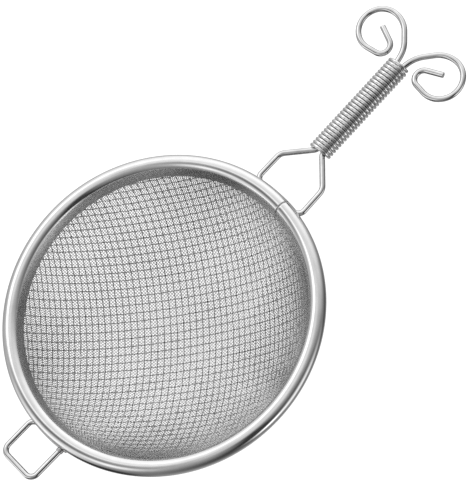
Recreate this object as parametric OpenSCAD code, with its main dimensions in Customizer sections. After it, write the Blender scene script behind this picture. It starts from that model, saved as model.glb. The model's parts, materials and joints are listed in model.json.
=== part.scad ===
// Double sieve strainer: a round bowl of two wire cloths in a rolled rim, with a wire handle
// that carries a coiled grip, and a wire rest loop on the opposite side.
// +Z is up and the bowl opens upward. The origin is the centre of the rim, level with the
// middle of its bead. The handle points along +X and the rest loop along -X.

/* [Rim] */
// Outside diameter of the rim
rim_d = 200; // [180:1:240]
// Diameter of the rolled bead
bead_d = 10.4; // [10:0.1:11.5]
// Thickness of the rim's sheet
sheet_t = 0.8; // [0.6:0.05:0.9]
// Diameter of the hoop that the bead is rolled over
hoop_d = 5; // [3:0.1:5.5]
// Place of the rim's butt seam, in degrees round from the handle
seam_angle = -5.7; // [-20:0.1:-4]

/* [Cloths] */
// Depth of the bowl, from the middle of the bead to the inside of the fine cloth
bowl_depth = 70; // [60:1:75]
// Thickness of the fine cloth
fine_t = 0.5; // [0.3:0.05:0.6]
// Diameter of the coarse cloth's wires
coarse_wire_d = 0.75; // [0.5:0.05:0.8]
// Spacing of the coarse cloth's warp wires
warp_pitch = 4.2; // [3.5:0.1:7]
// Spacing of the coarse cloth's weft wires
weft_pitch = 5.3; // [3.5:0.1:7]
// Angle between the coarse cloth's warp wires and the handle, in degrees
coarse_turn = 49; // [0:1:90]

/* [Handle] */
// Diameter of the handle wire and of the rest loop wire
wire_d = 3.6; // [3:0.1:4]
// Distance between the handle's two legs at the rim
leg_gap = 37.6; // [32:0.1:42]
// Rise of the handle above the level of the rim, in degrees
handle_rise = 4; // [0:0.1:8]
// Length of the handle's parallel legs
leg_length = 21.7; // [18:0.1:26]
// Distance between the two wires inside the grip
core_gap = 4.4; // [4.3:0.1:4.5]

/* [Grip coil] */
// Outside diameter of the coil
coil_d = 15; // [14:0.1:15.5]
// Diameter of the coil's wire
coil_wire_d = 2.15; // [1.8:0.05:2.15]
// Advance of the coil in one turn
coil_pitch = 2.4; // [2.3:0.01:2.6]
// Number of half turns in the coil
coil_half_turns = 59; // [41:2:59]

/* [Rest loop] */
// Distance from the rim's centre to the middle of the loop's outer bar
loop_reach = 124.6; // [118:0.1:135]
// Distance between the loop's two legs
loop_gap = 26.8; // [22:0.1:34]
// Length of wire left past the second leg, along the rim
loop_tail = 5; // [3:0.1:8]

/* [Hidden] */
$fn = 96;
// Facets on the small pieces whose shape follows the whole rim
rim_facets = 360;
// Flats on the coarse cloth's wires, which are too many to draw round
cloth_wire_flats = 6;

// Gap left between two separate pieces that touch on the real object
touch = 0.01;
// A wire is drawn as straights that lap into slightly fatter bends, which makes it one solid
lap = 0.15;
swell = 0.01;

// Rim section, as radius and height from the bead's centre. The inner lip leaves the bead at
// the angle lip_start, and lip is its lower edge.
bead_r = bead_d / 2;
bead_c = rim_d / 2 - bead_r;
lip = [-6.9, -3.75];
lip_start = atan2(lip.y, lip.x) + 360 - acos(bead_r / norm(lip));
lip_normal = [-cos(lip_start), -sin(lip_start)];
// Angle left open at the butt seam, and how far its weld lies below the sheet's surface
seam_width = 0.12;
seam_sink = 0.04;
// Angle round the bead at which the hoop rests in it
hoop_angle = -70;

// The bowl is part of a sphere that clears the inner lip's edge. The cloths end inside the
// bead, at the height cloth_top.
lip_clearance = 0.3;
cloth_top = -1;
mouth_r = bead_c + lip.x + sheet_t * lip_normal.x + lip_clearance;
mouth_z = lip.y + sheet_t * lip_normal.y;
mouth_drop = bowl_depth + mouth_z;
bowl_r = (mouth_r * mouth_r + mouth_drop * mouth_drop) / (2 * mouth_drop);
bowl_z = bowl_r - bowl_depth;
layer_gap = 0.05;
warp_r = bowl_r + fine_t + layer_gap + coarse_wire_d / 2;
weft_r = warp_r + coarse_wire_d + layer_gap;
cloth_outer_r = weft_r + coarse_wire_d / 2;

// Wires that hug the underside of the bead, at hug_angle round it
wire_r = wire_d / 2;
hug_angle = -54.2;
hug_distance = bead_r + wire_r + swell + touch;
hug_r = bead_c + hug_distance * cos(hug_angle);
hug_z = hug_distance * sin(hug_angle);
// Bend from the rim into a leg, and the length it takes up beside the leg
corner_r = 4.5;
corner_length = 1.17 * corner_r + 1;

// Handle outline, as distance along the handle and distance to one side. The legs lean in a
// little up to the knee, then run at 45 degrees to the neck.
leg_y = leg_gap / 2;
core_y = core_gap / 2;
handle_angle = asin((leg_y - corner_length) / hug_r);
handle_x = (hug_r - leg_y * sin(handle_angle)) / cos(handle_angle);
leg_lean = 0.4;
knee = [leg_length, leg_y - leg_lean];
knee_r = 7;
neck = [knee.x + knee.y - core_y, core_y];
neck_r = 5;
// The coil reaches a little over the neck
coil_lead = 1;
coil_start = neck.x - coil_lead;
coil_length = coil_pitch * coil_half_turns / 2 + coil_wire_d;
// The wires part for the scrolls a little before the coil's end
core_end = coil_start + coil_length - 6.1;
// Scroll at the end of each wire: arcs as [radius, turn in degrees], straights as [length]
scroll = [[36, 13], [1.5], [19, 30], [6.6], [17, 47], [0.4], [13.6, 188], [6.5], [5.6, 149], [11]];

// Rest loop outline
loop_y = loop_gap / 2;
loop_corner_r = 5;
loop_angle = asin((loop_y - corner_length) / hug_r);
loop_x = (hug_r - loop_y * sin(loop_angle)) / cos(loop_angle);
tail_angle = asin((loop_y + loop_tail) / hug_r);
butt_gap = 0.05;
butt_x = sqrt(pow(hug_r + wire_r + swell, 2) - pow(loop_y - wire_r, 2)) + butt_gap;

function unit(v) = v / norm(v);
function along_handle(p, side) = [
    handle_x + p.x * cos(handle_rise),
    side * p.y,
    hug_z + p.x * sin(handle_rise)
];

// Frame with its X, Y and Z axes along the three given unit vectors
module on_axes(origin, x, y, z) {
    multmatrix([
        [x.x, y.x, z.x, origin.x],
        [x.y, y.y, z.y, origin.y],
        [x.z, y.z, z.z, origin.z],
        [0, 0, 0, 1]
    ]) children();
}

// Straight round wire from a to b, with a lap at each end
module straight_wire(a, b, r) {
    z = unit(b - a);
    x = unit(cross([0, 0, 1], z));
    on_axes(a - lap * z, x, cross(z, x), z) cylinder(h = norm(b - a) + 2 * lap, r = r);
}

// Wire bent along an arc about the Z axis, round unless it is given a number of flats
module arc_wire(bend, r, from, to, flats = $fn) {
    rotate([0, 0, from]) rotate_extrude(angle = to - from) translate([bend, 0]) circle(r = r, $fn = flats);
}

// Length that a bend takes from each side of the corner at points[i]
function bend_turn(points, i) = acos(min(1, unit(points[i] - points[i - 1]) * unit(points[i + 1] - points[i])));
function bend_take(points, bends, i) =
    (i <= 0 || i >= len(points) - 1) ? 0 : bends[i] * tan(bend_turn(points, i) / 2);

// Wire through the given points, with a bend of the given radius at each inner point
module bent_wire(points, bends, r) {
    for (i = [0:len(points) - 2]) {
        go = unit(points[i + 1] - points[i]);
        straight_wire(
            points[i] + go * bend_take(points, bends, i),
            points[i + 1] - go * bend_take(points, bends, i + 1),
            r
        );
    }
    for (i = [1:len(points) - 2]) {
        before = unit(points[i] - points[i - 1]);
        after = unit(points[i + 1] - points[i]);
        inward = unit(after - before);
        centre = points[i] + inward * bends[i] / cos(bend_turn(points, i) / 2);
        out = unit(points[i] - before * bend_take(points, bends, i) - centre);
        on_axes(centre, out, before, cross(out, before))
            arc_wire(bends[i], r + swell, 0, bend_turn(points, i));
    }
}

// Flat wire that follows a list of arcs and straights, starting along +X and turning left
module scroll_wire(steps, r, i = 0) {
    if (i < len(steps)) {
        if (len(steps[i]) == 1) {
            translate([-lap, 0, 0]) rotate([0, 90, 0]) cylinder(h = steps[i][0] + 2 * lap, r = r);
            translate([steps[i][0], 0, 0]) scroll_wire(steps, r, i + 1);
        } else {
            translate([0, steps[i][0], 0]) arc_wire(steps[i][0], r + swell, -90, steps[i][1] - 90);
            translate([0, steps[i][0], 0]) rotate([0, 0, steps[i][1]]) translate([0, -steps[i][0], 0])
                scroll_wire(steps, r, i + 1);
        }
    }
}

// Section of the rolled rim, thinned from outside by the given amount
module rim_section(sink = 0) {
    difference() {
        translate([bead_c, 0]) circle(r = bead_r - sink);
        translate([bead_c, 0]) circle(r = bead_r - sheet_t);
        translate([bead_c, 0]) polygon([
            [0, 0],
            2 * bead_r * [cos(lip_start), sin(lip_start)],
            [-3 * bead_r, -3 * bead_r],
            [0, -2 * bead_r]
        ]);
    }
    // Inner lip, which covers the cloths' edges inside the bowl
    lip_foot = [bead_c, 0] + (bead_r - sink) * [cos(lip_start), sin(lip_start)];
    lip_edge = [bead_c, 0] + lip + sink * lip_normal;
    polygon([lip_foot, lip_edge, lip_edge + (sheet_t - sink) * lip_normal,
        lip_foot + (sheet_t - sink) * lip_normal]);
    // Lower lip, which closes on the cloths from outside
    lower_z = -bead_r + sheet_t;
    lower_r = sqrt(pow(cloth_outer_r, 2) - pow(bowl_z - lower_z, 2)) + lip_clearance;
    translate([lower_r, -bead_r + sink]) square([bead_c - lower_r + lap, sheet_t - sink]);
}

module rim_band() {
    color("lightsteelblue") rotate([0, 0, seam_angle + seam_width / 2])
        rotate_extrude(angle = 360 - seam_width) rim_section();
}

module rim_seam_weld() {
    color("slategray") rotate([0, 0, seam_angle - seam_width / 2])
        rotate_extrude(angle = seam_width) rim_section(seam_sink);
}

// Hoop that lies in the bottom of the bead
module rim_hoop() {
    rest = bead_r - sheet_t - hoop_d / 2 - touch;
    color("gray") rotate_extrude()
        translate([bead_c + rest * cos(hoop_angle), rest * sin(hoop_angle)]) circle(d = hoop_d);
}

// The fine cloth is stood for by a thin closed shell of the same thickness
module fine_cloth() {
    color("gainsboro") rotate_extrude() intersection() {
        translate([0, bowl_z]) difference() {
            circle(r = bowl_r + fine_t);
            circle(r = bowl_r);
        }
        translate([0, -2 * bowl_depth]) square([2 * bowl_r, 2 * bowl_depth + cloth_top]);
    }
}

// Wires of one direction of the coarse cloth, evenly spaced over the sphere of radius r
module coarse_wires(r, pitch) {
    shortest_rise = 2;
    last = floor(r * acos((bowl_z - cloth_top + shortest_rise) / r) * PI / 180 / pitch);
    for (i = [-last:last]) {
        lean = i * pitch / r * 180 / PI;
        ring_r = r * cos(lean);
        half = acos((bowl_z - cloth_top) / ring_r);
        translate([0, r * sin(lean), bowl_z]) rotate([90, 0, 0])
            arc_wire(ring_r, coarse_wire_d / 2, -90 - half, half - 90, cloth_wire_flats);
    }
}

module coarse_cloth_warp() {
    color("silver") rotate([0, 0, coarse_turn]) coarse_wires(warp_r, warp_pitch);
}

module coarse_cloth_weft() {
    color("darkgray") rotate([0, 0, coarse_turn + 90]) coarse_wires(weft_r, weft_pitch);
}

// Half of the handle from the rim to the coil's far end, then its scroll
module handle_half(side) {
    start = hug_r * [cos(handle_angle), side * sin(handle_angle), 0] + [0, 0, hug_z];
    bent_wire(
        [
            start,
            along_handle([0, leg_y], side),
            along_handle(knee, side),
            along_handle(neck, side),
            along_handle([core_end, core_y], side)
        ],
        [0, corner_r, knee_r, neck_r, 0],
        wire_r
    );
    translate([handle_x, 0, hug_z]) rotate([0, -handle_rise, 0]) translate([core_end, side * core_y, 0])
        mirror([0, side < 0 ? 1 : 0, 0]) scroll_wire(scroll, wire_r);
}

module handle_wire() {
    color("silver") {
        translate([0, 0, hug_z]) arc_wire(hug_r, wire_r + swell, -handle_angle, handle_angle);
        handle_half(1);
        handle_half(-1);
    }
}

// Close coil built of half turns, each a half ring tilted to climb half a pitch
module grip_coil() {
    ring_r = (coil_d - coil_wire_d) / 2;
    tilt = atan(coil_pitch / 4 / ring_r);
    color("whitesmoke") translate([handle_x, 0, hug_z]) rotate([0, -handle_rise, 0])
        translate([coil_start + coil_wire_d / 2 + coil_pitch / 4, 0, 0]) rotate([0, 90, 0])
            for (k = [0:coil_half_turns - 1]) {
                translate([0, 0, k * coil_pitch / 2]) rotate([0, 0, 180 * (k + 1)]) rotate([tilt, 0, 0])
                    arc_wire(ring_r / cos(tilt), coil_wire_d / 2, -90, 90);
            }
}

module rest_loop() {
    start = hug_r * [cos(loop_angle), sin(loop_angle), 0] + [0, 0, hug_z];
    color("silver") mirror([1, 0, 0]) {
        translate([0, 0, hug_z]) arc_wire(hug_r, wire_r + swell, -tail_angle, loop_angle);
        bent_wire(
            [
                start,
                [loop_x, loop_y, hug_z],
                [loop_reach, loop_y, hug_z],
                [loop_reach, -loop_y, hug_z],
                [butt_x, -loop_y, hug_z]
            ],
            [0, corner_r, loop_corner_r, loop_corner_r, 0],
            wire_r
        );
    }
}

// Weld metal in the crevice between the bead and a wire that hugs it
module crevice_weld(middle) {
    weld_r = 1.5;
    weld_length = 4;
    // Distance from the line of contact to the middle of the weld, outside the bead
    weld_shift = 2;
    contact = [bead_c, 0] + bead_r * [cos(hug_angle), sin(hug_angle)];
    half = weld_length / 2 / hug_r * 180 / PI;
    rotate([0, 0, middle - half]) rotate_extrude(angle = 2 * half) difference() {
        translate(contact + weld_shift * [sin(hug_angle), -cos(hug_angle)]) circle(r = weld_r);
        translate([bead_c, 0]) circle(r = bead_r + touch / 2);
        translate([hug_r, hug_z]) circle(r = wire_r + swell + touch / 2);
    }
}

module handle_welds() {
    $fn = rim_facets;
    color("gray") {
        crevice_weld(-0.7 * handle_angle);
        crevice_weld(0.7 * handle_angle);
    }
}

module rest_loop_welds() {
    $fn = rim_facets;
    collar_length = 2.2;
    collar_wall = 0.4;
    collar_sink = 0.5;
    color("gray") {
        crevice_weld(180 + 0.8 * tail_angle);
        crevice_weld(180 - 0.7 * loop_angle);
        // Collar that ties the loop's second leg to the wire along the rim
        difference() {
            translate([-hug_r - collar_sink, -loop_y, hug_z]) rotate([0, -90, 0])
                cylinder(h = collar_length, r = wire_r + collar_wall);
            translate([-butt_x + lap, -loop_y, hug_z]) rotate([0, -90, 0])
                cylinder(h = 2 * wire_r, r = wire_r + touch / 2);
            translate([0, 0, hug_z]) arc_wire(hug_r, wire_r + swell + touch / 2, 150, 210);
        }
    }
}

rim_band();
rim_hoop();
rim_seam_weld();
fine_cloth();
coarse_cloth_warp();
coarse_cloth_weft();
handle_wire();
handle_welds();
grip_coil();
rest_loop();
rest_loop_welds();
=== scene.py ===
import json
import math

import bpy
import numpy as np
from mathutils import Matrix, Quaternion, Vector


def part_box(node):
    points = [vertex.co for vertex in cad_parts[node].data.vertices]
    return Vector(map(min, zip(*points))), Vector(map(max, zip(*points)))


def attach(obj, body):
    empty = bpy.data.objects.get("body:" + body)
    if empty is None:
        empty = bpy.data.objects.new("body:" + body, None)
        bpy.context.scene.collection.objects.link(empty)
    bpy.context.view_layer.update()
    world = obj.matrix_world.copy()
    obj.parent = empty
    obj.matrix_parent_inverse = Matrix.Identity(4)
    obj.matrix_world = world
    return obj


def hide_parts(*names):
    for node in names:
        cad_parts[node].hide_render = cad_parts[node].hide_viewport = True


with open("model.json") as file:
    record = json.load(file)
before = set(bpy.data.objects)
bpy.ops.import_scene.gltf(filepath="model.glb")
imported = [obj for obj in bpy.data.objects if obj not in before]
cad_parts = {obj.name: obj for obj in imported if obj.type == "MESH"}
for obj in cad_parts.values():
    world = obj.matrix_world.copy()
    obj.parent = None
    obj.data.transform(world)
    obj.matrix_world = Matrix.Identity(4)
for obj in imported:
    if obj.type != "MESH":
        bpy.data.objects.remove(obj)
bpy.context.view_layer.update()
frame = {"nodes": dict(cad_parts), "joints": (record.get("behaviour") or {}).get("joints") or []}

# Double sieve strainer: two woven cloths in a rolled rim, a wire handle with a coiled grip,
# and a wire rest loop. Lengths are in metres; MM turns millimetres into them.
MM = 0.001

# ---------------------------------------------------------------- sizes taken from the frame
rim_low, rim_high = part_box("rim_band")
bead_r = round(rim_high.z, 5)
rim_r = round(max(rim_high.x, -rim_low.x, rim_high.y), 4)
bead_c = rim_r - bead_r

cloth_low, cloth_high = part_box("fine_cloth")
cloth_h = cloth_high.z - cloth_low.z
bowl_outer_r = (cloth_high.x ** 2 + cloth_h ** 2) / (2 * cloth_h)
bowl_centre = Vector((0, 0, cloth_low.z + bowl_outer_r))
cloth_top = cloth_high.z
coarse_outer_r = bowl_centre.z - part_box("coarse_cloth_weft")[0].z

loop_low, loop_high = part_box("rest_loop")
wire_r = round((loop_high.z - loop_low.z) / 2, 4)
hug_z = (loop_high.z + loop_low.z) / 2
# The wires that hug the rim stand this far off its bead
touch = 0.02 * MM
hug_r = bead_c + math.sqrt((bead_r + wire_r + touch) ** 2 - hug_z ** 2)
loop_reach = -loop_low.x - wire_r
loop_y = loop_high.y - wire_r
loop_tail_y = -loop_low.y - wire_r

joint = frame["joints"][0]
handle_axis = Vector(joint["axis"])
handle_pos = Vector(joint["pos_m"])
handle_up = Vector((-handle_axis.z, 0, handle_axis.x))
handle_foot = handle_pos - handle_axis * ((handle_pos.z - hug_z) / handle_axis.z)

# ---------------------------------------------------------------- sizes of the wires and cloths
sheet_t = 0.8 * MM
lip = np.array([-6.9, -3.75]) * MM
seam_angle = math.radians(-5.7)
seam_half = math.radians(0.04)

fine_wire_d = 0.4 * MM
fine_pitch = 1.45 * MM
coarse_wire_d = 0.58 * MM
warp_pitch = 4.2 * MM
weft_pitch = 5.3 * MM

leg_y = 18.8 * MM
core_y = 2.2 * MM
knee = np.array([21.7, 18.4]) * MM
neck = np.array([37.9, 2.2]) * MM
core_end = 103.75 * MM
knee_r = 7 * MM
neck_r = 5 * MM
loop_corner_r = 5 * MM
# Bend where a wire leaves the rim, and the distance from the rim's arc to its sharp corner
corner_r = 4.5 * MM
corner_run = 1.17 * corner_r + 1 * MM
# Bends and straight runs of a scroll, as [radius, turn in degrees] or [length]
scroll = [[36, 13], [1.5], [19, 30], [6.6], [17, 47], [0.4], [13.6, 188], [6.5], [5.6, 149], [11]]

coil_d = 15 * MM
coil_wire_d = 2.15 * MM
coil_pitch = 2.4 * MM
coil_turns = 29.5
coil_start = 36.9 * MM
coil_unevenness = 0.03 * MM


# ---------------------------------------------------------------- mesh helpers
def build_mesh(name, points, faces):
    """Mesh from an array of points and a list of face arrays, one array for each face size."""
    mesh = bpy.data.meshes.new(name)
    points = np.asarray(points, np.float32)
    corners = np.concatenate([f.ravel() for f in faces]).astype(np.int32)
    sizes = np.concatenate([np.full(len(f), f.shape[1]) for f in faces])
    starts = np.concatenate([[0], np.cumsum(sizes)[:-1]]).astype(np.int32)
    mesh.vertices.add(len(points))
    mesh.vertices.foreach_set("co", points.ravel())
    mesh.loops.add(len(corners))
    mesh.loops.foreach_set("vertex_index", corners)
    mesh.polygons.add(len(starts))
    mesh.polygons.foreach_set("loop_start", starts)
    mesh.polygons.foreach_set("use_smooth", np.ones(len(starts), bool))
    mesh.update(calc_edges=True)
    return mesh


def add_piece(mesh, body, material, node):
    """Object that rides on a body, with its material, and stands for the named CAD node."""
    piece = bpy.data.objects.new(mesh.name, mesh)
    bpy.context.scene.collection.objects.link(piece)
    mesh.materials.append(material)
    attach(piece, body)
    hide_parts(node)


def set_map(mesh, values):
    """UV map named grain: for each vertex, length along the metal and length across it."""
    layer = mesh.uv_layers.new(name="grain")
    index = np.empty(len(mesh.loops), np.int32)
    mesh.loops.foreach_get("vertex_index", index)
    layer.data.foreach_set("uv", np.asarray(values, np.float32)[index].ravel())


def grid_faces(rows, columns, first=0):
    """Quads of a grid of rows by columns, closed across the columns."""
    row, column = np.meshgrid(np.arange(rows - 1), np.arange(columns), indexing="ij")
    nxt = (column + 1) % columns
    here = first + row * columns
    there = here + columns
    return np.stack([here + column, here + nxt, there + nxt, there + column], -1).reshape(-1, 4)


def unit(v):
    return v / np.linalg.norm(v, axis=-1, keepdims=True)


def tube(path, out, radius, sides, first=0):
    """Points and faces of a capped round tube along a path; out points across it."""
    ahead = unit(np.gradient(path, axis=0))
    out = unit(out - ahead * (out * ahead).sum(-1, keepdims=True))
    across = np.cross(ahead, out)
    turn = (2 * math.pi * (np.arange(sides) + 0.5) / sides)[None, :, None]
    ring = np.cos(turn) * out[:, None] + np.sin(turn) * across[:, None]
    points = path[:, None] + np.asarray(radius).reshape(-1, 1, 1) * ring
    end = np.arange(sides)
    last = first + (len(path) - 1) * sides
    faces = grid_faces(len(path), sides, first)
    return points.reshape(-1, 3), faces, np.stack([first + end[::-1], last + end])


def carried_frame(path, start):
    """A direction across the path at each point, carried along it without twist."""
    ahead = unit(np.gradient(path, axis=0))
    out = np.empty_like(path)
    now = np.asarray(start, float)
    for i, t in enumerate(ahead):
        now = now - t * now.dot(t)
        now = now / np.linalg.norm(now)
        out[i] = now
    return out


def wire_piece_mesh(name, path, radius, sides, cut=0.25 * MM):
    """Round wire along a path, with its cut ends slightly rounded over."""
    ahead = unit(np.gradient(path, axis=0))
    steps = np.sin(np.radians([0, 30, 60, 90]))
    lead = path[0] + ahead[0] * (cut * steps[:-1, None])
    tail = path[-1] - ahead[-1] * (cut * steps[-2::-1, None])
    length = np.linalg.norm(path - path[0], axis=1)
    length_end = np.linalg.norm(path - path[-1], axis=1)
    inner = path[(length > cut) & (length_end > cut)]
    path = np.concatenate([lead, inner, tail])
    scale = np.ones(len(path))
    scale[:3] = 1 - (cut / radius) * (1 - steps[:3])
    scale[-3:] = scale[2::-1]
    out = carried_frame(path, np.cross(ahead[0], [0.3, 0.2, 1.0]))
    points, quads, caps = tube(path, out, radius * scale, sides)
    mesh = build_mesh(name, points, [quads, caps])
    along = np.concatenate([[0], np.cumsum(np.linalg.norm(np.diff(path, axis=0), axis=1))])
    around = np.abs(np.arange(sides) - sides / 2) * 2 * math.pi * radius / sides
    set_map(mesh, np.stack(np.meshgrid(along, around, indexing="ij"), -1).reshape(-1, 2))
    return mesh


# ---------------------------------------------------------------- outlines of bent wire
def arc_points(centre, start, ahead, radius, turn):
    """Points on an arc that leaves start along ahead and turns about centre by an angle."""
    count = max(3, int(math.degrees(turn) / 3) + 1)
    angles = np.linspace(0, turn, count)[:, None]
    return centre + (start - centre) * np.cos(angles) + ahead * radius * np.sin(angles)


def bent_path(points, bends):
    """Path through the points, with a bend of the given radius at each inner point."""
    points = [np.asarray(p, float) for p in points]
    path = [points[0][None]]
    for i in range(1, len(points) - 1):
        before = unit(points[i] - points[i - 1])
        after = unit(points[i + 1] - points[i])
        turn = math.acos(min(1, float(before.dot(after))))
        start = points[i] - before * bends[i] * math.tan(turn / 2)
        centre = points[i] + unit(after - before) * bends[i] / math.cos(turn / 2)
        path.append(arc_points(centre, start, before, bends[i], turn))
    path.append(points[-1][None])
    return np.concatenate(path)


def scroll_path(start, steps, side):
    """Flat path that starts along the handle; a step is [radius, turn] or [length], in mm."""
    place = np.array(start, float)
    heading = 0.0
    path = [place[None]]
    for step in steps:
        ahead = np.array([math.cos(heading), side * math.sin(heading)])
        if len(step) == 1:
            place = place + ahead * step[0] * MM
            path.append(place[None])
        else:
            radius = step[0] * MM
            turn = math.radians(step[1])
            left = np.array([-math.sin(heading), side * math.cos(heading)])
            points = arc_points(place + left * radius, place, ahead, radius, turn)
            place = points[-1]
            heading += turn
            path.append(points[1:])
    return np.concatenate(path)


def even_path(path, step):
    """The same path with points at even spacing."""
    length = np.concatenate([[0], np.cumsum(np.linalg.norm(np.diff(path, axis=0), axis=1))])
    marks = np.linspace(0, length[-1], max(2, int(length[-1] / step)))
    return np.stack([np.interp(marks, length, path[:, k]) for k in range(3)], -1)


def in_handle(flat):
    """Points of the handle's own plane, as distance along it and to one side, in the frame."""
    flat = np.atleast_2d(flat)
    sideways = np.array([0, 1, 0])
    return np.array(handle_foot) + flat[:, :1] * np.array(handle_axis) + flat[:, 1:] * sideways


def rim_arc(from_angle, to_angle):
    """Points of a wire that hugs the bead between two angles round the rim."""
    spacing = 0.6 * MM
    count = max(4, int(abs(to_angle - from_angle) * hug_r / spacing))
    angles = np.linspace(from_angle, to_angle, count)
    return np.stack([hug_r * np.cos(angles), hug_r * np.sin(angles), np.full(count, hug_z)], -1)


def handle_path():
    """The whole handle wire: one scroll, one side of the grip, the rim, and back again."""
    base_angle = math.asin((leg_y - corner_run) / hug_r)
    halves = []
    for side in (-1, 1):
        start = [hug_r * math.cos(base_angle), side * hug_r * math.sin(base_angle), hug_z]
        marks = [[0, leg_y], knee, neck, [core_end, core_y]]
        corners = [in_handle([p[0], side * p[1]])[0] for p in marks]
        leg = bent_path([start] + corners, [0, corner_r, knee_r, neck_r, 0])
        curl = in_handle(scroll_path([core_end, side * core_y], scroll, side))
        halves.append(np.concatenate([leg, curl[1:]]))
    base = rim_arc(-base_angle, base_angle)
    return np.concatenate([halves[0][::-1], base[1:-1], halves[1]])


def loop_path():
    """The rest loop: its tail and base along the rim, then three sides of a rectangle."""
    base_angle = math.asin((loop_y - corner_run) / hug_r)
    tail_angle = math.asin(loop_tail_y / hug_r)
    loop_x = (hug_r - loop_y * math.sin(base_angle)) / math.cos(base_angle)
    butt_x = math.sqrt((hug_r + wire_r) ** 2 - (loop_y - wire_r) ** 2)
    start = [-hug_r * math.cos(base_angle), hug_r * math.sin(base_angle), hug_z]
    corners = [
        start,
        [-loop_x, loop_y, hug_z],
        [-loop_reach, loop_y, hug_z],
        [-loop_reach, -loop_y, hug_z],
        [-butt_x, -loop_y, hug_z],
    ]
    bars = bent_path(corners, [0, corner_r, loop_corner_r, loop_corner_r, 0])
    base = rim_arc(math.pi + tail_angle, math.pi - base_angle)
    return np.concatenate([base[:-1], bars])


def coil_path():
    """The grip's helix round the handle's axis, with a very slight unevenness of hand winding."""
    steps_per_turn = 48
    turns = np.linspace(0, coil_turns, int(coil_turns * steps_per_turn) + 1)
    angle = 2 * math.pi * turns
    helix_r = (coil_d - coil_wire_d) / 2
    drift = coil_unevenness * np.sin(2.3 * turns) * np.sin(0.7 * turns + 1)
    along = coil_start + coil_wire_d / 2 + coil_pitch * turns + drift
    axis = np.array(handle_axis)
    up = np.array(handle_up)
    across = np.cross(up, axis)
    spoke = np.sin(angle)[:, None] * up + np.cos(angle)[:, None] * across
    return np.array(handle_foot) + along[:, None] * axis + helix_r * spoke


# ---------------------------------------------------------------- woven cloth on the bowl
def next_node(opposite, left, right, left_cos, right_cos):
    """Unit vector at given angles from left and right, on the far side from opposite."""
    dot = (left * right).sum(-1)
    det = 1 - dot ** 2
    a = (left_cos - right_cos * dot) / det
    b = (right_cos - left_cos * dot) / det
    flat = a[:, None] * left + b[:, None] * right
    rest = 1 - (flat ** 2).sum(-1)
    high = np.sqrt(np.where(rest > 0, rest, np.nan))[:, None] * unit(np.cross(left, right))
    first = ((flat + high - opposite) ** 2).sum(-1) > ((flat - high - opposite) ** 2).sum(-1)
    return np.where(first[:, None], flat + high, flat - high)


def drape(radius, pitch_u, pitch_v, turn, skew, tilt):
    """Nodes of a cloth pressed over a sphere, its wires evenly spaced along one another.

    turn is the direction of the wires along u at the bowl's bottom, skew is how far the
    others are from square to them, and tilt moves the cloth's centre off the bottom.
    """
    reach = math.radians(89)
    count = (int(reach * radius / pitch_u), int(reach * radius / pitch_v))
    step = (pitch_u / radius, pitch_v / radius)
    nodes = np.full((2 * count[0] + 1, 2 * count[1] + 1, 3), np.nan)
    heads = (turn, turn + math.pi / 2 + skew)
    for k in (0, 1):
        angle = np.arange(-count[k], count[k] + 1) * step[k]
        head = np.array([math.cos(heads[k]), math.sin(heads[k]), 0])
        line = np.sin(angle)[:, None] * head - np.cos(angle)[:, None] * np.array([0, 0, 1])
        if k == 0:
            nodes[:, count[1]] = line
        else:
            nodes[count[0]] = line
    cos_u = math.cos(step[0])
    cos_v = math.cos(step[1])
    for su in (1, -1):
        for sv in (1, -1):
            for total in range(2, count[0] + count[1] + 1):
                i = np.arange(max(1, total - count[1]), min(count[0], total - 1) + 1)
                j = total - i
                u = count[0] + su * i
                v = count[1] + sv * j
                nodes[u, v] = next_node(
                    nodes[u - su, v - sv], nodes[u, v - sv], nodes[u - su, v], cos_v, cos_u
                )
    cx, sx = math.cos(tilt[0]), math.sin(tilt[0])
    cy, sy = math.cos(tilt[1]), math.sin(tilt[1])
    about_x = np.array([[1, 0, 0], [0, cx, -sx], [0, sx, cx]])
    about_y = np.array([[cy, 0, sy], [0, 1, 0], [-sy, 0, cy]])
    return nodes @ (about_x @ about_y).T


def weave(name, nodes, family, radius, wire_d, sides, fill, keep, top):
    """Mesh of one family of wires, each passing over and under the other family's wires.

    family 0 runs along u and 1 along v, fill is the number of points for each crossing,
    and keep picks the wires by their number counted from the middle of the cloth.
    """
    wires = nodes if family else nodes.transpose(1, 0, 2)
    middle = len(wires) // 2
    sign = -1 if family else 1
    points, quads, caps = [], [], []
    first = 0
    for number, wire in enumerate(wires):
        if not keep(number - middle):
            continue
        place = np.flatnonzero(~np.isnan(wire[:, 0]))
        if len(place) < 3:
            continue
        marks = np.arange(place[0] * fill, place[-1] * fill + 1) / fill
        line = np.stack([np.interp(marks, place, wire[place, k]) for k in range(3)], -1)
        out = unit(line)
        wave = sign * (-1) ** number * np.cos(math.pi * marks) * wire_d / 2
        path = np.array(bowl_centre) + out * (radius + wave)[:, None]
        inside = np.flatnonzero(path[:, 2] < top)
        if len(inside) < 3:
            continue
        run = slice(inside[0], inside[-1] + 1)
        ring, quad, cap = tube(path[run], out[run], wire_d / 2, sides, first)
        points.append(ring)
        quads.append(quad)
        caps.append(cap)
        first += len(ring)
    return build_mesh(name, np.concatenate(points), [np.concatenate(quads), np.concatenate(caps)])


# ---------------------------------------------------------------- rolled rim
def arc_2d(radius, from_angle, to_angle, count):
    angles = np.radians(np.linspace(from_angle, to_angle, count))
    return np.stack([bead_c + radius * np.cos(angles), radius * np.sin(angles)], -1)


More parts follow.
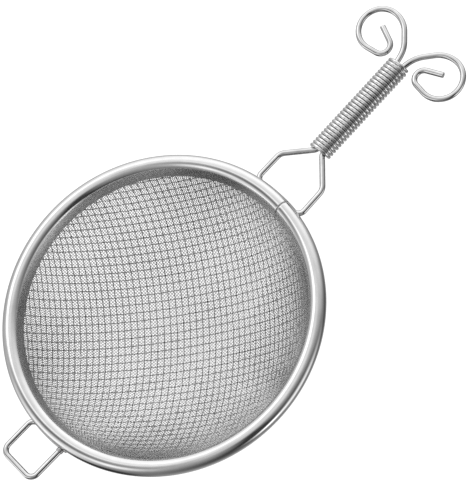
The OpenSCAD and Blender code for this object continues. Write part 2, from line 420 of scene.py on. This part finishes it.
def rim_outline():
    """Closed outline of the rolled sheet, as radius and height."""
    lip_turn = math.atan2(lip[1], lip[0]) - math.acos(bead_r / np.linalg.norm(lip))
    lip_start = math.degrees(lip_turn) + 360
    normal = -np.array([math.cos(lip_turn), math.sin(lip_turn)])
    lower_z = -bead_r + sheet_t
    lower_gap = 0.3 * MM
    lower_r = math.sqrt(coarse_outer_r ** 2 - (bowl_centre.z - lower_z) ** 2) + lower_gap
    edge = np.array([bead_c, 0]) + lip + normal * sheet_t / 2
    turn = np.radians(np.linspace(0, 180, 7))[1:-1]
    along = np.array([-normal[1], normal[0]])
    if along[1] > 0:
        along = -along
    turned = along * np.sin(turn)[:, None] - normal * np.cos(turn)[:, None]
    rounding = edge + turned * sheet_t / 2
    outer = arc_2d(bead_r, -90, lip_start, 64)
    inner = arc_2d(bead_r - sheet_t, lip_start, -90, 40)
    lip_out = np.array([bead_c, 0]) + lip
    lip_in = lip_out + normal * sheet_t
    lower = np.array([[lower_r, lower_z], [lower_r, -bead_r]])
    return np.concatenate([outer, [lip_out], rounding, [lip_in], inner, lower])


def rim_mesh():
    outline = rim_outline()
    columns = len(outline)
    rows = 600
    angle = seam_angle + np.linspace(seam_half, 2 * math.pi - seam_half, rows)
    r, z = outline[:, 0], outline[:, 1]
    points = np.stack(
        [np.outer(np.cos(angle), r), np.outer(np.sin(angle), r), np.outer(np.ones(rows), z)], -1
    )
    quads = grid_faces(rows, columns)[:, ::-1]
    end = np.arange(columns)
    caps = np.stack([end, (rows - 1) * columns + end[::-1]])
    mesh = build_mesh("rolled_rim", points.reshape(-1, 3), [quads, caps])
    across = np.concatenate([[0], np.cumsum(np.linalg.norm(np.diff(outline, axis=0), axis=1))])
    set_map(mesh, np.stack(np.meshgrid(angle * rim_r, across, indexing="ij"), -1).reshape(-1, 2))
    return mesh


# ---------------------------------------------------------------- materials
def grey(tone):
    return (tone, tone, tone)


def new_metal(name):
    """Material of bare metal, with its nodes and links."""
    material = bpy.data.materials.new(name)
    material.use_nodes = True
    nodes = material.node_tree.nodes
    nodes["Principled BSDF"].inputs["Metallic"].default_value = 1.0
    return material, nodes, material.node_tree.links


def add_noise(nodes, links, vector, scale, detail, roughness):
    noise = nodes.new("ShaderNodeTexNoise")
    noise.inputs["Scale"].default_value = scale
    noise.inputs["Detail"].default_value = detail
    noise.inputs["Roughness"].default_value = roughness
    links.new(vector, noise.inputs["Vector"])
    return noise.outputs["Fac"]


def colour_by(nodes, links, pattern, colours, ends):
    """Base colour that runs between two colours as the pattern runs between two ends."""
    ramp = nodes.new("ShaderNodeValToRGB")
    for element, colour, end in zip(ramp.color_ramp.elements, colours, ends):
        element.position = end
        element.color = (*colour, 1)
    links.new(pattern, ramp.inputs["Fac"])
    links.new(ramp.outputs["Color"], nodes["Principled BSDF"].inputs["Base Color"])


def roughen_by(nodes, links, pattern, rough, ends):
    """Roughness that runs between two values as the pattern runs between two ends."""
    spread = nodes.new("ShaderNodeMapRange")
    for socket, value in zip(("From Min", "From Max", "To Min", "To Max"), (*ends, *rough)):
        spread.inputs[socket].default_value = value
    links.new(pattern, spread.inputs["Value"])
    links.new(spread.outputs["Result"], nodes["Principled BSDF"].inputs["Roughness"])


def emboss_by(nodes, links, pattern, depth):
    bump = nodes.new("ShaderNodeBump")
    bump.inputs["Strength"].default_value = 1.0
    bump.inputs["Distance"].default_value = depth
    links.new(pattern, bump.inputs["Height"])
    links.new(bump.outputs["Normal"], nodes["Principled BSDF"].inputs["Normal"])


def steel(name, colours, rough, grain, grain_depth, spot_scale):
    """Bare steel: drawn or rolled grain along the metal, cloudy tone and patches of wear.

    colours are its darker and lighter one, rough its least and most roughness, grain the
    fine lines' spacing along and across the metal, and spot_scale how small the clouds are.
    """
    material, nodes, links = new_metal(name)
    place = nodes.new("ShaderNodeTexCoord")
    lines_map = nodes.new("ShaderNodeUVMap")
    lines_map.uv_map = "grain"
    stretch = nodes.new("ShaderNodeMapping")
    stretch.inputs["Scale"].default_value = (1 / grain[0], 1 / grain[1], 1)
    links.new(lines_map.outputs["UV"], stretch.inputs["Vector"])
    lines = add_noise(nodes, links, stretch.outputs["Vector"], 1.0, 3.0, 0.5)
    cloud = add_noise(nodes, links, place.outputs["Object"], spot_scale, 4.0, 0.6)
    half_cloud = nodes.new("ShaderNodeMath")
    half_cloud.operation = "MULTIPLY"
    half_cloud.inputs[1].default_value = 0.5
    links.new(cloud, half_cloud.inputs[0])
    both = nodes.new("ShaderNodeMath")
    both.operation = "MULTIPLY_ADD"
    both.inputs[1].default_value = 0.5
    links.new(lines, both.inputs[0])
    links.new(half_cloud.outputs["Value"], both.inputs[2])
    pattern = both.outputs["Value"]
    colour_by(nodes, links, pattern, colours, (0.35, 0.62))
    roughen_by(nodes, links, pattern, rough, (0.35, 0.65))
    emboss_by(nodes, links, lines, grain_depth)
    return material


def cloudy_steel(name, colours, rough, scale):
    """Dull or woven steel, with clouds of darker and lighter metal and a slight unevenness."""
    material, nodes, links = new_metal(name)
    place = nodes.new("ShaderNodeTexCoord")
    cloud = add_noise(nodes, links, place.outputs["Object"], scale, 5.0, 0.65)
    colour_by(nodes, links, cloud, colours, (0.3, 0.7))
    roughen_by(nodes, links, cloud, rough, (0, 1))
    emboss_by(nodes, links, cloud, 0.02 * MM)
    return material


rim_steel = steel(
    "polished_rim_steel", (grey(0.64), grey(0.76)), rough=(0.07, 0.15),
    grain=(6 * MM, 0.12 * MM), grain_depth=0.002 * MM, spot_scale=60,
)
wire_steel = steel(
    "drawn_wire_steel", (grey(0.52), grey(0.78)), rough=(0.02, 0.07),
    grain=(5 * MM, 0.08 * MM), grain_depth=0.002 * MM, spot_scale=90,
)
coil_steel = steel(
    "coil_wire_steel", (grey(0.60), grey(0.88)), rough=(0.02, 0.06),
    grain=(4 * MM, 0.06 * MM), grain_depth=0.0012 * MM, spot_scale=120,
)
hoop_steel = cloudy_steel(
    "hoop_wire_steel", ((0.40, 0.40, 0.41), (0.58, 0.58, 0.59)),
    rough=(0.25, 0.45), scale=400,
)
weld_steel = cloudy_steel(
    "weld_metal_steel", ((0.30, 0.29, 0.28), (0.56, 0.56, 0.57)),
    rough=(0.25, 0.5), scale=900,
)
fine_steel = cloudy_steel(
    "fine_cloth_steel", (grey(0.56), grey(0.80)), rough=(0.15, 0.3), scale=500
)
# The coarse cloth's very dark base colour is painted shade: it is the same steel as the fine
# cloth, darkened to stand in for the shade it lies in beneath the fine cloth.
coarse_shade_painted_steel = cloudy_steel(
    "coarse_cloth_steel", ((0.12, 0.12, 0.121), (0.22, 0.22, 0.222)),
    rough=(0.25, 0.4), scale=300,
)

# ---------------------------------------------------------------- the pieces
add_piece(rim_mesh(), "strainer", rim_steel, "rim_band")

coarse_mid_r = (bowl_outer_r + coarse_outer_r) / 2
coarse_nodes = drape(
    coarse_mid_r, weft_pitch, warp_pitch, turn=math.radians(47), skew=math.radians(4.5),
    tilt=(math.radians(4.1), math.radians(-9.7)),
)
# The coarse cloth ends a little lower in the rim than the fine one
coarse_top = cloth_top - 0.5 * MM
for family, direction in ((0, "warp"), (1, "weft")):
    mesh = weave(
        "coarse_" + direction + "_wires", coarse_nodes, family, coarse_mid_r,
        coarse_wire_d, sides=8, fill=4, keep=lambda number: True, top=coarse_top,
    )
    add_piece(mesh, "strainer", coarse_shade_painted_steel, "coarse_cloth_" + direction)

fine_mid_r = bowl_outer_r - fine_wire_d
fine_nodes = drape(
    fine_mid_r, fine_pitch, fine_pitch, turn=0, skew=0,
    tilt=(math.radians(1), math.radians(2)),
)
for family, direction in ((0, "warp"), (1, "weft")):
    for part, keep in (("near", lambda number: number < 0), ("far", lambda number: number >= 0)):
        mesh = weave(
            "fine_" + direction + "_wires_" + part, fine_nodes, family, fine_mid_r,
            fine_wire_d, sides=5, fill=1, keep=keep, top=cloth_top,
        )
        add_piece(mesh, "strainer", fine_steel, "fine_cloth")

wire_step = 0.7 * MM
handle = wire_piece_mesh("handle_wire_bent", even_path(handle_path(), wire_step), wire_r, 24)
add_piece(handle, "strainer", wire_steel, "handle_wire")
loop = wire_piece_mesh("rest_loop_bent", even_path(loop_path(), wire_step), wire_r, 24)
add_piece(loop, "strainer", wire_steel, "rest_loop")
coil = wire_piece_mesh("grip_coil_wound", coil_path(), coil_wire_d / 2, 14, cut=0.12 * MM)
add_piece(coil, "grip", coil_steel, "grip_coil")

for node, material in (
    ("rim_hoop", hoop_steel),
    ("rim_seam_weld", weld_steel),
    ("handle_welds", weld_steel),
    ("rest_loop_welds", weld_steel),
):
    piece = frame["nodes"][node]
    piece.data.materials.clear()
    piece.data.materials.append(material)

# ---------------------------------------------------------------- floor, light and camera
# Panels of the studio: strength, then azimuth, half width, height and half height in degrees.
# Azimuth runs from the handle's side (+X) towards +Y, and a negative panel is a dark one.
# The values came from a least-squares fit to the tones of the photo's rim. They were then
# rounded and partly changed.
PANELS = (
    (1.7, 30, 65, 15, 43),
    (1.75, 168, 24, 3, 25),
    (0.8, 87, 28, 46, 16),
    (-1.25, 177, 20, 0, 52),
    (1.45, -71, 25, -8, 21),
    (-1.05, -17, 126, 0, 53),
    (1.5, 180, 18, 38, 18),
    (0.4, 6, 260, 84, 16),
    (-0.25, -107, 14, 58, 14),
    (1.7, -92, 9, -3, 9),
    (1.2, 105, 17, 52, 17),
    (-0.4, 133, 44, 51, 18),
    (-0.2, -100, 10, 36, 22),
)
BASE_LIGHT = 0.58
LEAST_LIGHT = 0.04


def add_floor():
    """White floor under the bowl, lit mostly by itself and left out of reflections."""
    half = 4.0
    gap = 0.2 * MM
    z = bowl_centre.z - coarse_outer_r - gap
    mesh = bpy.data.meshes.new("floor")
    corners = [(-half, -half, z), (half, -half, z), (half, half, z), (-half, half, z)]
    mesh.from_pydata(corners, [], [(0, 1, 2, 3)])
    floor = bpy.data.objects.new("floor", mesh)
    bpy.context.scene.collection.objects.link(floor)
    white = bpy.data.materials.new("floor_white")
    white.use_nodes = True
    shader = white.node_tree.nodes["Principled BSDF"]
    shader.inputs["Base Color"].default_value = (*grey(0.3), 1)
    shader.inputs["Roughness"].default_value = 0.8
    shader.inputs["Emission Color"].default_value = (*grey(1), 1)
    shader.inputs["Emission Strength"].default_value = 0.9
    mesh.materials.append(white)
    floor.visible_glossy = False


def studio_world():
    """Studio round the object: soft bright panels, and dark ones that draw the metal's edges.

    Only reflections see the panels; other light comes from an even white dome.
    """
    world = bpy.data.worlds.new("studio")
    bpy.context.scene.world = world
    world.use_nodes = True
    nodes, links = world.node_tree.nodes, world.node_tree.links
    background = nodes["Background"]
    place = nodes.new("ShaderNodeTexCoord")
    split = nodes.new("ShaderNodeSeparateXYZ")
    links.new(place.outputs["Generated"], split.inputs["Vector"])

    def maths(operation, *values):
        node = nodes.new("ShaderNodeMath")
        node.operation = operation
        for socket, value in zip(node.inputs, values):
            if isinstance(value, (int, float)):
                socket.default_value = value
            else:
                links.new(value, socket)
        return node.outputs["Value"]

    degrees = 180 / math.pi
    azimuth = maths("ARCTAN2", split.outputs["Y"], split.outputs["X"])
    azimuth = maths("MULTIPLY", azimuth, degrees)
    height = maths("MULTIPLY", maths("ARCSINE", split.outputs["Z"]), degrees)

    def panel(middle, width, level, tall):
        """Soft-edged patch round an azimuth and a height, from 0 to 1."""
        turned = maths("WRAP", maths("SUBTRACT", azimuth, middle), 180.0, -180.0)
        across = maths("POWER", maths("DIVIDE", turned, width), 2.0)
        up = maths("POWER", maths("DIVIDE", maths("SUBTRACT", height, level), tall), 2.0)
        return maths("EXPONENT", maths("MULTIPLY", maths("ADD", across, up), -1.0))

    light = BASE_LIGHT
    for strength, middle, width, level, tall in PANELS:
        light = maths("ADD", light, maths("MULTIPLY", panel(middle, width, level, tall), strength))
    light = maths("MAXIMUM", light, LEAST_LIGHT)
    path = nodes.new("ShaderNodeLightPath")
    mix = nodes.new("ShaderNodeMix")
    mix.data_type = "FLOAT"
    links.new(path.outputs["Is Glossy Ray"], mix.inputs["Factor"])
    mix.inputs["A"].default_value = 1.0
    links.new(light, mix.inputs["B"])
    links.new(mix.outputs["Result"], background.inputs["Strength"])
    background.inputs["Color"].default_value = (1, 1, 1, 1)


def add_camera():
    """Camera above the near side of the bowl, turned so that the handle runs up to the right."""
    aim = Vector((61.3, -2.2, 0)) * MM
    place = Vector((-24.7, -447.6, 1000.3)) * MM
    roll = math.radians(-35.77)
    data = bpy.data.cameras.new("camera")
    data.sensor_width = 36
    data.lens = 138
    data.clip_end = 20
    camera = bpy.data.objects.new("camera", data)
    bpy.context.scene.collection.objects.link(camera)
    camera.location = place
    camera.rotation_mode = "QUATERNION"
    look = (aim - place).to_track_quat("-Z", "Y")
    camera.rotation_quaternion = look @ Quaternion((0, 0, 1), roll)
    bpy.context.scene.camera = camera


add_floor()
studio_world()
add_camera()
bpy.context.scene.view_settings.view_transform = "Standard"
# Denoising would smear the weave of the fine cloth into an even grey
bpy.context.scene.cycles.use_denoising = False
